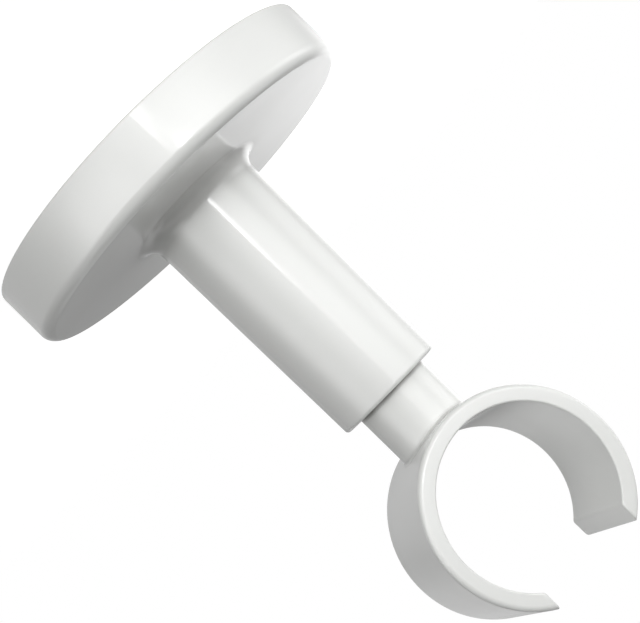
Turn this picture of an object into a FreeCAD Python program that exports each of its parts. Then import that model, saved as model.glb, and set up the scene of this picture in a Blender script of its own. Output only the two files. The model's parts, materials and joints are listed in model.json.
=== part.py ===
import FreeCAD, Part
import os

import Sketcher
from FreeCAD import Placement, Rotation, Vector

# Curtain pole bracket for a wall or a ceiling, in millimetres.
#
# The origin is the centre of the back face, which lies against the wall. +Z runs along the arm,
# away from the wall, and the pole runs through the ring along Y. The two small locking screws
# are on the -X side.
#
# The wall side is a round rose cast in one piece with a slightly tapered barrel. It hides a
# pressed fixing plate and is locked to it by a grub screw in the rim. The pole side is a stem
# with an open ring at its end. The stem slides in the barrel, and a second grub screw that
# bears on a flat along the stem locks it and stops it at both ends of its travel.

NODES_FOLDER = "parts"
SHEET = "sizes"
TOWARDS_MINUS_X = Rotation(Vector(0, 1, 0), -90)
HALF_TURN_ABOUT_Z = Rotation(Vector(0, 0, 1), 180)
NO_TURN = Rotation()
TOLERANCE = 1e-4

# The driving dimensions: name, value and what the size is.
DRIVING_SIZES = [
    ("rose_radius", 30.0, "outside radius of the round rose"),
    ("rose_depth", 9.5, "depth of the rose, from the wall to its front face"),
    ("rose_side_wall", 2.0, "thickness of the rim of the rose"),
    ("rose_front_wall", 2.4, "thickness of the front of the rose"),
    ("rose_front_round", 1.7, "rounding of the front edge"),
    ("rose_back_chamfer", 0.3, "chamfer of the edge at the wall"),
    ("rose_pad_width", 7.0, "width of each locating pad inside the rim"),
    ("rose_pad_setback", 0.6, "height of the pads above the wall"),
    ("barrel_length", 40.0, "length of the barrel in front of the rose"),
    ("barrel_wall", 2.62, "wall of the barrel at its mouth"),
    ("barrel_taper", 0.5, "how much wider in radius the barrel is at the rose"),
    ("barrel_mouth_chamfer", 0.6, "chamfer of the outer edge of the mouth"),
    ("barrel_root_fillet", 2.7, "hollow fillet between the barrel and the rose"),
    ("bore_mouth_chamfer", 0.35, "chamfer at the mouth of the bore"),
    ("stem_radius", 6.25, "radius of the sliding stem"),
    ("stem_clearance", 0.08, "radial running clearance of the stem in the bore"),
    ("stem_flat_depth", 1.8, "depth of the flat that the locking screw bears on"),
    ("stem_stop_length", 3.0, "full round end of the stem, below the flat"),
    ("stem_tail_height", 1.7, "height of the end of the stem above the front of the rose"),
    ("stem_tail_chamfer", 0.6, "chamfer at the hidden end of the stem"),
    ("neck_length", 7.9, "stem that shows between the mouth and the ring, pushed right in"),
    ("ring_inner_radius", 13.35, "inside radius of the ring"),
    ("ring_wall", 2.55, "wall of the ring"),
    ("ring_width", 21.5, "width of the ring along the pole"),
    ("ring_slot_width", 16.8, "width of the opening in the ring"),
    ("ring_outer_chamfer", 0.5, "chamfer of the outer edges of the ring"),
    ("ring_inner_chamfer", 0.35, "chamfer of the inner edges and the ends of the ring"),
    ("plate_thickness", 1.2, "sheet that the fixing plate is pressed from"),
    ("plate_bend", 0.8, "width of the bend between plate and rim, on its inside"),
    ("plate_lip_reach", 0.6, "how far the lip stands out over the screw"),
    ("plate_roof_gap", 0.3, "gap between the plate and the inside of the rose's front"),
    ("plate_clearance", 0.3, "radial gap between the lip and the locating pads"),
    ("plate_hole_radius", 2.4, "radius of the wall screw holes"),
    ("plate_hole_circle", 15.0, "radius of the circle that the wall screw holes lie on"),
    ("grub_radius", 2.0, "radius of both grub screws"),
    ("grub_thread_gap", 0.05, "radial gap round a grub screw in its threaded hole"),
    ("grub_seat_gap", 0.3, "gap between the point of a grub screw and what it locks"),
    ("grub_side_gap", 0.3, "gap between the locking screw and the ends of the flat"),
    ("grub_lip_gap", 0.2, "gap between the rim screw and the underside of the lip"),
    ("grub_recess", 0.3, "depth of the outer end of a grub screw below the surface"),
    ("grub_chamfer", 0.4, "chamfer at both ends of a grub screw"),
    ("grub_socket_flats", 2.0, "hexagon socket, across its flats"),
    ("grub_socket_depth", 2.0, "depth of the hexagon socket"),
    ("rose_grub_length", 5.0, "length of the rim screw"),
    ("barrel_grub_from_mouth", 8.0, "distance of the locking screw from the mouth"),
]
WALL_SCREW_HOLES = 3
LOCATING_PADS = 3

# Places and sizes that follow from the driving dimensions, written as the sheet reads them.
ROSE_INSIDE = "(sizes.rose_radius - sizes.rose_side_wall)"
ROOF_HEIGHT = "(sizes.rose_depth - sizes.rose_front_wall)"
BORE_RADIUS = "(sizes.stem_radius + sizes.stem_clearance)"
MOUTH_RADIUS = "(sizes.stem_radius + sizes.stem_clearance + sizes.barrel_wall)"
ROOT_RADIUS = f"({MOUTH_RADIUS} + sizes.barrel_taper)"
MOUTH_HEIGHT = "(sizes.rose_depth + sizes.barrel_length)"
RING_OUTER_RADIUS = "(sizes.ring_inner_radius + sizes.ring_wall)"
RING_HEIGHT = f"({MOUTH_HEIGHT} + sizes.neck_length + {RING_OUTER_RADIUS})"
TAIL_HEIGHT = "(sizes.rose_depth + sizes.stem_tail_height)"
LOCK_HEIGHT = f"({MOUTH_HEIGHT} - sizes.barrel_grub_from_mouth)"
FLAT_TOP = f"({LOCK_HEIGHT} + sizes.grub_radius + sizes.grub_side_gap)"
FLAT_BOTTOM = f"({TAIL_HEIGHT} + sizes.stem_stop_length)"
FLAT_FACE = "(sizes.stem_radius - sizes.stem_flat_depth)"
THREADED_HOLE = "(sizes.grub_radius + sizes.grub_thread_gap)"
BARREL_RADIUS_AT_LOCK = (
    f"({MOUTH_RADIUS} + sizes.barrel_taper * sizes.barrel_grub_from_mouth / sizes.barrel_length)"
)
BARREL_GRUB_POINT = f"({FLAT_FACE} + sizes.grub_seat_gap)"
BARREL_GRUB_LENGTH = f"({BARREL_RADIUS_AT_LOCK} - sizes.grub_recess - {BARREL_GRUB_POINT})"
ROSE_GRUB_POINT = "(sizes.rose_radius - sizes.grub_recess - sizes.rose_grub_length)"
PLATE_RIM = f"({ROSE_GRUB_POINT} - sizes.grub_seat_gap)"
PLATE_LIP = f"({PLATE_RIM} + sizes.plate_lip_reach)"
PLATE_INSIDE = f"({PLATE_RIM} - sizes.plate_thickness)"
PLATE_HEIGHT = f"({ROOF_HEIGHT} - sizes.plate_roof_gap)"
PLATE_LIP_UNDERSIDE = f"({PLATE_HEIGHT} - sizes.plate_thickness)"
ROSE_GRUB_HEIGHT = f"({PLATE_LIP_UNDERSIDE} - sizes.grub_radius - sizes.grub_lip_gap)"
PAD_FACE = f"({PLATE_LIP} + sizes.plate_clearance)"


def make_sheet(document):
    """Writes the driving dimensions into the sheet, one row each, and names the cells."""
    sheet = document.addObject("Spreadsheet::Sheet", SHEET)
    sheet.Label = SHEET
    for row, (name, value, meaning) in enumerate(DRIVING_SIZES, start=1):
        sheet.set(f"A{row}", name)
        sheet.set(f"B{row}", str(value))
        sheet.set(f"C{row}", meaning)
        sheet.setAlias(f"B{row}", name)
    document.recompute()
    return sheet


def make_body(document, name):
    """Starts the body of one sub-part, whose label names its file."""
    body = document.addObject("PartDesign::Body", name)
    body.Label = name
    body.Placement = Placement()
    return body


def add_sketch(body, name, plane_role, height="0", turn=NO_TURN):
    """Adds a sketch on one of the body's own origin planes, raised by height along its normal."""
    sketch = body.newObject("Sketcher::SketchObject", name)
    plane = next(part for part in body.Origin.OriginFeatures if part.Role == plane_role)
    sketch.AttachmentSupport = (plane, [""])
    sketch.MapMode = "FlatFace"
    sketch.AttachmentOffset = Placement(Vector(0, 0, 0), turn)
    if height != "0":
        sketch.setExpression("AttachmentOffset.Base.z", height)
    return sketch


def bind_point(sketch, geometry, position, across, up):
    """Ties one point of a sketch to the sheet, by its distances from the sketch's origin."""
    for kind, expression, axis in (("DistanceX", across, -2), ("DistanceY", up, -1)):
        if expression == "0":
            sketch.addConstraint(Sketcher.Constraint("PointOnObject", geometry, position, axis))
            continue
        number = sketch.addConstraint(Sketcher.Constraint(kind, -1, 1, geometry, position, 10.0))
        name = f"{kind}_{geometry}"
        sketch.renameConstraint(number, name)
        sketch.setExpression(f"Constraints.{name}", expression)


def add_outline(sketch, corners):
    """Draws a closed outline of straight lines through corners that the sheet places."""
    count = len(corners)
    rough = [Vector(5.0 + 3.0 * index, 5.0 + index * index, 0) for index in range(count)]
    first = sketch.GeometryCount
    for index in range(count):
        sketch.addGeometry(Part.LineSegment(rough[index], rough[(index + 1) % count]))
    for index in range(count):
        following = first + (index + 1) % count
        sketch.addConstraint(Sketcher.Constraint("Coincident", first + index, 2, following, 1))
    for index, (across, up) in enumerate(corners):
        bind_point(sketch, first + index, 1, across, up)


def add_circle(sketch, across, up, radius):
    """Draws a circle whose centre and radius the sheet sets."""
    circle = sketch.addGeometry(Part.Circle(Vector(0, 0, 0), Vector(0, 0, 1), 10.0))
    bind_point(sketch, circle, 3, across, up)
    number = sketch.addConstraint(Sketcher.Constraint("Radius", circle, 10.0))
    name = f"Radius_{circle}"
    sketch.renameConstraint(number, name)
    sketch.setExpression(f"Constraints.{name}", radius)


def add_hexagon(sketch, across_flats):
    """Draws a regular hexagon round the origin, held by a guide circle through its corners."""
    guide = sketch.addGeometry(Part.Circle(Vector(0, 0, 0), Vector(0, 0, 1), 1.0), True)
    sketch.addConstraint(Sketcher.Constraint("Coincident", guide, 3, -1, 1))
    number = sketch.addConstraint(Sketcher.Constraint("Radius", guide, 1.0))
    sketch.renameConstraint(number, "corner_radius")
    sketch.setExpression("Constraints.corner_radius", f"{across_flats} / sqrt(3)")
    corners = [Rotation(Vector(0, 0, 1), 60.0 * index).multVec(Vector(1, 0, 0)) for index in range(6)]
    sides = []
    for index in range(6):
        side = Part.LineSegment(corners[index], corners[(index + 1) % 6])
        sides.append(sketch.addGeometry(side))
    for index, side in enumerate(sides):
        following = sides[(index + 1) % 6]
        sketch.addConstraint(Sketcher.Constraint("Coincident", side, 2, following, 1))
        sketch.addConstraint(Sketcher.Constraint("PointOnObject", side, 1, guide))
    for side in sides[1:]:
        sketch.addConstraint(Sketcher.Constraint("Equal", sides[0], side))
    sketch.addConstraint(Sketcher.Constraint("PointOnObject", sides[0], 1, -1))


def revolve(body, name, sketch):
    """Turns a profile once round the vertical axis of its sketch."""
    feature = body.newObject("PartDesign::Revolution", name)
    feature.Profile = sketch
    feature.ReferenceAxis = (sketch, ["V_Axis"])
    feature.Angle = 360.0
    return feature


def pad(body, name, sketch, length, both_sides=False):
    """Adds material over a sketch, upwards from it or evenly to both sides."""
    feature = body.newObject("PartDesign::Pad", name)
    feature.Profile = sketch
    feature.Type = "Length"
    if both_sides:
        feature.SideType = "Symmetric"
    feature.setExpression("Length", length)
    return feature


def cut_through(body, name, sketch, both_sides=False):
    """Cuts a sketch right through the body, below it or to both sides."""
    feature = body.newObject("PartDesign::Pocket", name)
    feature.Profile = sketch
    feature.Type = "ThroughAll"
    if both_sides:
        feature.SideType = "Symmetric"
    return feature


def polar_pattern(body, name, feature, axis_sketch, count):
    """Repeats a feature evenly round the normal of a sketch."""
    pattern = body.newObject("PartDesign::PolarPattern", name)
    pattern.Originals = [feature]
    pattern.Axis = (axis_sketch, ["N_Axis"])
    pattern.Angle = 360.0
    pattern.Occurrences = count
    body.Tip = pattern
    return pattern


def ease_edges(body, name, kind, edges, size_property, size):
    """Rounds or chamfers the named edges of the body's last feature."""
    base = body.Tip
    feature = body.newObject(f"PartDesign::{kind}", name)
    feature.Base = (base, edges)
    feature.setExpression(size_property, size)
    body.Document.recompute()
    return feature


def round_edges(body, name, edges, size):
    """Rounds the named edges of the body's last feature."""
    return ease_edges(body, name, "Fillet", edges, "Radius", size)


def chamfer_edges(body, name, edges, size):
    """Chamfers the named edges of the body's last feature."""
    return ease_edges(body, name, "Chamfer", edges, "Size", size)


def edges_where(body, test):
    """Names the edges of the body's last feature that pass a test."""
    return [f"Edge{number}" for number, edge in enumerate(body.Tip.Shape.Edges, start=1) if test(edge)]


def is_level_circle(edge, radius, height):
    """Tells whether an edge is a circle about the vertical axis, of this radius and height."""
    if not isinstance(edge.Curve, Part.Circle):
        return False
    same_size = abs(edge.Curve.Radius - radius) < TOLERANCE
    centre = edge.Curve.Center
    on_axis = Vector(centre.x, centre.y, 0).Length < TOLERANCE
    return same_size and on_axis and abs(centre.z - height) < TOLERANCE


def level_circles(body, radius, height):
    """Names the circular edges about the vertical axis with this radius and height."""
    return edges_where(body, lambda edge: is_level_circle(edge, radius, height))


def make_rose_with_barrel(document, size):
    """Makes the hollow rose with its tapered barrel, cast in one piece."""
    body = make_body(document, "rose_with_barrel")
    profile = add_sketch(body, "rose_profile", "XZ_Plane")
    add_outline(profile, [
        (ROSE_INSIDE, "0"),
        ("sizes.rose_radius", "0"),
        ("sizes.rose_radius", "sizes.rose_depth"),
        (ROOT_RADIUS, "sizes.rose_depth"),
        (MOUTH_RADIUS, MOUTH_HEIGHT),
        (BORE_RADIUS, MOUTH_HEIGHT),
        (BORE_RADIUS, ROOF_HEIGHT),
        (ROSE_INSIDE, ROOF_HEIGHT),
    ])
    revolve(body, "rose_shell", profile)
    document.recompute()

    bore_radius = size("stem_radius") + size("stem_clearance")
    mouth_radius = bore_radius + size("barrel_wall")
    mouth_height = size("rose_depth") + size("barrel_length")
    root = level_circles(body, mouth_radius + size("barrel_taper"), size("rose_depth"))
    round_edges(body, "root_fillet", root, "sizes.barrel_root_fillet")
    front = level_circles(body, size("rose_radius"), size("rose_depth"))
    round_edges(body, "front_round", front, "sizes.rose_front_round")
    back = level_circles(body, size("rose_radius"), 0.0)
    chamfer_edges(body, "back_chamfer", back, "sizes.rose_back_chamfer")
    mouth = level_circles(body, mouth_radius, mouth_height)
    chamfer_edges(body, "mouth_chamfer", mouth, "sizes.barrel_mouth_chamfer")
    bore = level_circles(body, bore_radius, mouth_height)
    chamfer_edges(body, "bore_chamfer", bore, "sizes.bore_mouth_chamfer")

    # The pads inside the rim centre the rose on its plate. The first one carries the screw.
    pad_sketch = add_sketch(body, "pad_outline", "XY_Plane", "sizes.rose_pad_setback", HALF_TURN_ABOUT_Z)
    into_rim = f"({ROSE_INSIDE} + sizes.rose_side_wall / 2)"
    add_outline(pad_sketch, [
        (PAD_FACE, "-sizes.rose_pad_width / 2"),
        (into_rim, "-sizes.rose_pad_width / 2"),
        (into_rim, "sizes.rose_pad_width / 2"),
        (PAD_FACE, "sizes.rose_pad_width / 2"),
    ])
    into_front = f"({ROOF_HEIGHT} + sizes.rose_front_wall / 2 - sizes.rose_pad_setback)"
    first_pad = pad(body, "locating_pad", pad_sketch, into_front)
    document.recompute()
    polar_pattern(body, "locating_pads", first_pad, pad_sketch, LOCATING_PADS)
    document.recompute()

    holes = add_sketch(body, "screw_holes", "YZ_Plane")
    add_circle(holes, "0", ROSE_GRUB_HEIGHT, THREADED_HOLE)
    add_circle(holes, "0", LOCK_HEIGHT, THREADED_HOLE)
    cut_through(body, "threaded_holes", holes)
    document.recompute()
    return body


def make_pole_ring_with_stem(document, size):
    """Makes the open ring and the stem that slides in the barrel, in one piece."""
    body = make_body(document, "pole_ring_with_stem")
    ring_disc = add_sketch(body, "ring_outside", "XZ_Plane")
    add_circle(ring_disc, "0", RING_HEIGHT, RING_OUTER_RADIUS)
    pad(body, "ring_blank", ring_disc, "sizes.ring_width", both_sides=True)
    document.recompute()

    # The edges at the ring's two sides are cut while they are still whole circles.
    sides = edges_where(body, lambda edge: isinstance(edge.Curve, Part.Circle))
    chamfer_edges(body, "ring_outer_chamfer", sides, "sizes.ring_outer_chamfer")

    stem_section = add_sketch(body, "stem_section", "XY_Plane", TAIL_HEIGHT)
    add_circle(stem_section, "0", "0", "sizes.stem_radius")
    pad(body, "stem", stem_section, f"{RING_HEIGHT} - {TAIL_HEIGHT}")
    document.recompute()

    tail_height = size("rose_depth") + size("stem_tail_height")
    tail = level_circles(body, size("stem_radius"), tail_height)
    chamfer_edges(body, "tail_chamfer", tail, "sizes.stem_tail_chamfer")

    opening = add_sketch(body, "ring_opening", "XZ_Plane")
    add_circle(opening, "0", RING_HEIGHT, "sizes.ring_inner_radius")
    cut_through(body, "pole_bore", opening, both_sides=True)
    document.recompute()

    slot = add_sketch(body, "slot_outline", "XZ_Plane")
    above_ring = f"({RING_HEIGHT} + {RING_OUTER_RADIUS} + sizes.ring_wall)"
    add_outline(slot, [
        ("-sizes.ring_slot_width / 2", RING_HEIGHT),
        ("sizes.ring_slot_width / 2", RING_HEIGHT),
        ("sizes.ring_slot_width / 2", above_ring),
        ("-sizes.ring_slot_width / 2", above_ring),
    ])
    cut_through(body, "ring_slot", slot, both_sides=True)
    document.recompute()

    half_slot = size("ring_slot_width") / 2

    def is_inner_edge(edge):
        """Tells whether an edge bounds the bore or an end face of the ring."""
        box = edge.BoundBox
        at_end_face = abs(abs(box.XMin) - half_slot) < TOLERANCE and box.XLength < TOLERANCE
        if at_end_face:
            return True
        if not isinstance(edge.Curve, Part.Circle):
            return False
        return abs(edge.Curve.Radius - size("ring_inner_radius")) < TOLERANCE

    inner_edges = edges_where(body, is_inner_edge)
    chamfer_edges(body, "ring_inner_chamfer", inner_edges, "sizes.ring_inner_chamfer")

    flat = add_sketch(body, "flat_outline", "XZ_Plane")
    past_stem = "-(sizes.stem_radius + sizes.stem_flat_depth)"
    add_outline(flat, [
        (past_stem, FLAT_BOTTOM),
        (f"-{FLAT_FACE}", FLAT_BOTTOM),
        (f"-{FLAT_FACE}", FLAT_TOP),
        (past_stem, FLAT_TOP),
    ])
    cut_through(body, "stem_flat", flat, both_sides=True)
    document.recompute()
    return body


def make_wall_fixing_plate(document, size):
    """Makes the pressed dish that is screwed to the wall, with a lip for the rim screw."""
    body = make_body(document, "wall_fixing_plate")
    profile = add_sketch(body, "plate_profile", "XZ_Plane")
    add_outline(profile, [
        ("0", "0"),
        (PLATE_RIM, "0"),
        (PLATE_RIM, PLATE_LIP_UNDERSIDE),
        (PLATE_LIP, PLATE_LIP_UNDERSIDE),
        (PLATE_LIP, PLATE_HEIGHT),
        (PLATE_INSIDE, PLATE_HEIGHT),
        (PLATE_INSIDE, "sizes.plate_thickness"),
        ("0", "sizes.plate_thickness"),
    ])
    revolve(body, "plate_dish", profile)
    document.recompute()

    point = size("rose_radius") - size("grub_recess") - size("rose_grub_length")
    rim_radius = point - size("grub_seat_gap")
    outer_bend = level_circles(body, rim_radius, 0.0)
    even_thickness = "sizes.plate_bend + sizes.plate_thickness * (2 - sqrt(2))"
    chamfer_edges(body, "outer_bend", outer_bend, even_thickness)
    inside = rim_radius - size("plate_thickness")
    inner_bend = level_circles(body, inside, size("plate_thickness"))
    chamfer_edges(body, "inner_bend", inner_bend, "sizes.plate_bend")

    hole_sketch = add_sketch(body, "wall_screw_hole_outline", "XY_Plane")
    add_circle(hole_sketch, "sizes.plate_hole_circle", "0", "sizes.plate_hole_radius")
    first_hole = cut_through(body, "wall_screw_hole", hole_sketch)
    first_hole.Reversed = True
    document.recompute()
    polar_pattern(body, "wall_screw_holes", first_hole, hole_sketch, WALL_SCREW_HOLES)
    document.recompute()
    return body


def make_grub_screw(document, size, name, length, point_distance, height):
    """Makes a grub screw, point first, and points its socket towards -X."""
    body = make_body(document, name)
    section = add_sketch(body, f"{name}_section", "XY_Plane")
    add_circle(section, "0", "0", "sizes.grub_radius")
    pad(body, f"{name}_shank", section, length)
    document.recompute()

    ends = edges_where(body, lambda edge: isinstance(edge.Curve, Part.Circle))
    chamfer_edges(body, f"{name}_chamfers", ends, "sizes.grub_chamfer")
    socket_floor = f"{length} - sizes.grub_socket_depth"
    socket = add_sketch(body, f"{name}_socket_outline", "XY_Plane", socket_floor)
    add_hexagon(socket, "sizes.grub_socket_flats")
    recess = cut_through(body, f"{name}_socket", socket)
    recess.Reversed = True
    document.recompute()

    body.Placement = Placement(Vector(0, 0, 0), TOWARDS_MINUS_X)
    body.setExpression("Placement.Base.x", f"-{point_distance}")
    body.setExpression("Placement.Base.z", height)
    document.recompute()
    return body


def check_document(document, bodies):
    """Stops if an object failed, or a sub-part isn't one valid solid."""
    for part in document.Objects:
        for state in part.State:
            if state in ("Invalid", "Error"):
                raise RuntimeError(f"{part.Name} is {state}")
    for body in bodies:
        shape = body.Shape
        if shape.isNull() or not shape.isValid():
            raise RuntimeError(f"{body.Label} has no valid shape")
        if len(shape.Solids) != 1:
            raise RuntimeError(f"{body.Label} has {len(shape.Solids)} solids")


def main():
    """Builds the bracket and writes one file for each sub-part."""
    document = FreeCAD.newDocument("curtain_pole_bracket")
    sheet = make_sheet(document)

    def size(name):
        """Reads one driving dimension from the sheet."""
        return float(sheet.get(name))

    bodies = [
        make_wall_fixing_plate(document, size),
        make_rose_with_barrel(document, size),
        make_pole_ring_with_stem(document, size),
        make_grub_screw(
            document, size, "rose_grub_screw", "sizes.rose_grub_length", ROSE_GRUB_POINT, ROSE_GRUB_HEIGHT
        ),
        make_grub_screw(
            document, size, "barrel_grub_screw", BARREL_GRUB_LENGTH, BARREL_GRUB_POINT, LOCK_HEIGHT
        ),
    ]
    document.recompute()
    check_document(document, bodies)
    os.makedirs(NODES_FOLDER, exist_ok=True)
    for body in bodies:
        body.Shape.exportStep(os.path.join(NODES_FOLDER, f"{body.Label}.step"))
        print(f"{body.Label}: volume {body.Shape.Volume:.1f}, box {body.Shape.BoundBox}")


main()
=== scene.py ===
"""Looks of a white curtain pole bracket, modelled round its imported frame.

The bracket stands on its wall face with the arm upwards, as the frame does: +Z runs along the arm,
the pole would run along Y, and both grub screws are on the -X side. All lengths are in metres.
"""

import json
import logging
import math
from collections.abc import Callable, Sequence
from dataclasses import dataclass
from enum import Enum

import bpy
from mathutils import Matrix, Vector


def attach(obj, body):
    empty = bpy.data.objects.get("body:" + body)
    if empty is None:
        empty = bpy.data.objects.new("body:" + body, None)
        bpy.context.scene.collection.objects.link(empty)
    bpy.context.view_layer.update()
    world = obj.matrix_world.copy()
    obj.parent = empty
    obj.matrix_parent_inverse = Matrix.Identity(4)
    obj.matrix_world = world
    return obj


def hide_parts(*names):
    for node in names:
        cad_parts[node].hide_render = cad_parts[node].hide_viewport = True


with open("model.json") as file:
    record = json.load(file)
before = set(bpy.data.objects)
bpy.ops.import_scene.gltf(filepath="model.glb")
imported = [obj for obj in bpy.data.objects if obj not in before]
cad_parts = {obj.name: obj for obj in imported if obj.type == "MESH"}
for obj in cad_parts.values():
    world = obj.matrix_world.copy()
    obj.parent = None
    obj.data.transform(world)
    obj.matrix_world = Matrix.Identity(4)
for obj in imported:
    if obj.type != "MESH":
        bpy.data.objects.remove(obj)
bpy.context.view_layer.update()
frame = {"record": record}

log = logging.getLogger("bracket")

NodeTree = bpy.types.NodeTree
Socket = bpy.types.NodeSocket
Material = bpy.types.Material

MM = 0.001
FULL_TURN = math.tau
TOUCHING = 1e-6
MERGE_LIMIT = 1e-7
UP = Vector((0, 0, 1))
ALONG_POLE = Vector((0, 1, 0))
WHITE = (1, 1, 1, 1)
MIX_COLOURS = (6, 7)
MIX_COLOUR_RESULT = 2
NOISE_SPAN = (0.3, 0.7)
WAVE_SCALE = 10


class Combine(Enum):
    """The ways in which one mesh is worked with another."""

    JOIN = "UNION"
    CUT = "DIFFERENCE"
    KEEP_COMMON = "INTERSECT"


class Solver(Enum):
    """The ways in which the combined mesh is worked out."""

    ANY_MESH = "EXACT"
    CLOSED_MESHES = "MANIFOLD"


class Pick(Enum):
    """The parts of a mesh that a test can select."""

    POINTS = "VERT"
    EDGES = "EDGE"


class Body(Enum):
    """The two moving bodies of the frame."""

    WALL_SIDE = "wall_side"
    POLE_SIDE = "pole_side"


@dataclass(frozen=True)
class Corner:
    """One corner of a turned outline.

    Attributes:
        radius: Distance from the axis.
        height: Place along the axis.
        rounding: Radius of the rounding, or nought for a sharp corner.
        steps: How many short runs make the rounding.
    """

    radius: float
    height: float
    rounding: float = 0.0
    steps: int = 6


def clear_selection() -> None:
    """Leaves edit mode and deselects every object, because operators act on all that is selected."""
    if bpy.context.object is not None and bpy.context.object.mode != "OBJECT":
        bpy.ops.object.mode_set(mode="OBJECT")
    bpy.ops.object.select_all(action="DESELECT")


class Workpiece:
    """A mesh under work, shaped with edit-mode operators and finished with modifiers."""

    def __init__(self, item: bpy.types.Object, name: str) -> None:
        """Takes over a new primitive.

        Args:
            item: The primitive, still at its own place.
            name: The name that the piece gets.
        """
        self.item = item
        item.name = name
        item.data.name = name
        bpy.ops.object.transform_apply(location=True, rotation=True, scale=True)

    @classmethod
    def from_point(cls, name: str, place: Vector) -> "Workpiece":
        """Starts a piece as one vertex, from which lines are drawn.

        Args:
            name: The name of the piece.
            place: Where the vertex is.

        Returns:
            The piece, in edit mode with its vertex selected.
        """
        clear_selection()
        bpy.ops.mesh.primitive_plane_add(size=MM, location=place)
        piece = cls(bpy.context.object, name)
        bpy.ops.object.mode_set(mode="EDIT")
        bpy.ops.mesh.select_mode(type=Pick.POINTS.value)
        bpy.ops.mesh.select_all(action="SELECT")
        bpy.ops.mesh.merge(type="CENTER")
        return piece

    @classmethod
    def block(cls, name: str, low: Vector, high: Vector) -> "Workpiece":
        """Makes a block between two corners.

        Args:
            name: The name of the piece.
            low: Its lowest corner.
            high: Its highest corner.

        Returns:
            The piece, in object mode.
        """
        clear_selection()
        bpy.ops.mesh.primitive_cube_add(size=1, location=(low + high) / 2, scale=high - low)
        return cls(bpy.context.object, name)

    @classmethod
    def turned(cls, name: str, corners: Sequence[Corner], steps: int) -> "Workpiece":
        """Turns an outline once round the Z axis.

        Args:
            name: The name of the piece.
            corners: The outline, in order. It is closed from its last corner to its first.
            steps: How many faces go round.

        Returns:
            The piece, in object mode.
        """
        places = [Vector((corner.radius, 0, corner.height)) for corner in corners]
        piece = cls.from_point(name, places[0])
        piece.draw_through(places)
        piece.close_line(places[0], places[-1])
        for index, corner in enumerate(corners):
            if corner.rounding > 0:
                before, after = places[index - 1], places[(index + 1) % len(places)]
                piece.round_point(before, places[index], after, corner)
        piece.spin(steps, FULL_TURN, Vector(), UP)
        piece.mend()
        return piece

    def pick(self, kind: Pick, test: Callable[[Vector], bool]) -> None:
        """Selects the points or edges whose centre passes a test, and nothing else.

        Args:
            kind: What is selected.
            test: Says of a centre whether it is wanted.
        """
        mesh = self.item.data
        bpy.ops.object.mode_set(mode="EDIT")
        bpy.ops.mesh.select_mode(type=kind.value)
        bpy.ops.mesh.select_all(action="DESELECT")
        bpy.ops.object.mode_set(mode="OBJECT")
        if kind is Pick.POINTS:
            for point in mesh.vertices:
                point.select = test(point.co)
        else:
            for edge in mesh.edges:
                first, second = (mesh.vertices[index].co for index in edge.vertices)
                edge.select = test((first + second) / 2)
        bpy.ops.object.mode_set(mode="EDIT")

    def draw_through(self, places: Sequence[Vector]) -> None:
        """Draws a line from the selected vertex, which is at the first place, through the others."""
        for start, end in zip(places, places[1:]):
            bpy.ops.mesh.extrude_region_move(TRANSFORM_OT_translate={"value": end - start})

    def close_line(self, first: Vector, last: Vector) -> None:
        """Joins two ends of a line with an edge."""
        self.pick(Pick.POINTS, lambda at: min((at - first).length, (at - last).length) < TOUCHING)
        bpy.ops.mesh.edge_face_add()

    def round_point(self, before: Vector, place: Vector, after: Vector, corner: Corner) -> None:
        """Rounds one corner of a drawn line.

        Args:
            before: The corner before it.
            place: The corner itself.
            after: The corner after it.
            corner: Its rounding and steps.
        """
        bend = (place - before).angle(after - place)
        self.pick(Pick.POINTS, lambda at: (at - place).length < TOUCHING)
        self.bevel(corner.rounding * math.tan(bend / 2), corner.steps, "VERTICES")

    def bevel(self, reach: float, steps: int, kind: str) -> None:
        """Rounds what is selected."""
        bpy.ops.mesh.bevel(offset=reach, segments=steps, affect=kind)

    def spin(self, steps: int, angle: float, centre: Vector, axis: Vector) -> None:
        """Sweeps all that there is through an angle round an axis, which runs through a centre."""
        bpy.ops.mesh.select_all(action="SELECT")
        bpy.ops.mesh.spin(steps=steps, angle=angle, center=centre, axis=axis)

    def mend(self) -> None:
        """Merges doubled points, drops loose edges, turns all faces outwards and leaves edit mode."""
        bpy.ops.object.mode_set(mode="EDIT")
        bpy.ops.mesh.select_all(action="SELECT")
        bpy.ops.mesh.remove_doubles(threshold=MERGE_LIMIT)
        bpy.ops.mesh.delete_loose()
        bpy.ops.mesh.select_all(action="SELECT")
        bpy.ops.mesh.normals_make_consistent(inside=False)
        bpy.ops.object.mode_set(mode="OBJECT")

    def turn(self, angle: float, axis: Vector) -> None:
        """Turns the whole mesh about an axis through the origin, right-handed."""
        self.item.data.transform(Matrix.Rotation(angle, 4, axis))

    def move(self, way: Vector) -> None:
        """Moves the whole mesh."""
        self.item.data.transform(Matrix.Translation(way))

    def work_with(self, tool: "Workpiece", how: Combine, solver: Solver = Solver.ANY_MESH) -> None:
        """Joins, cuts or trims the piece with another one, which is used up.

        Args:
            tool: The other piece.
            how: What is done with it.
            solver: How it is worked out.
        """
        self.make_active()
        modifier = self.item.modifiers.new("work", "BOOLEAN")
        modifier.operation = how.value
        modifier.solver = solver.value
        modifier.object = tool.item
        bpy.ops.object.modifier_apply(modifier=modifier.name)
        bpy.data.objects.remove(tool.item)

    def make_active(self) -> None:
        """Makes this the only selected object and the active one."""
        clear_selection()
        self.item.select_set(True)
        bpy.context.view_layer.objects.active = self.item

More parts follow.
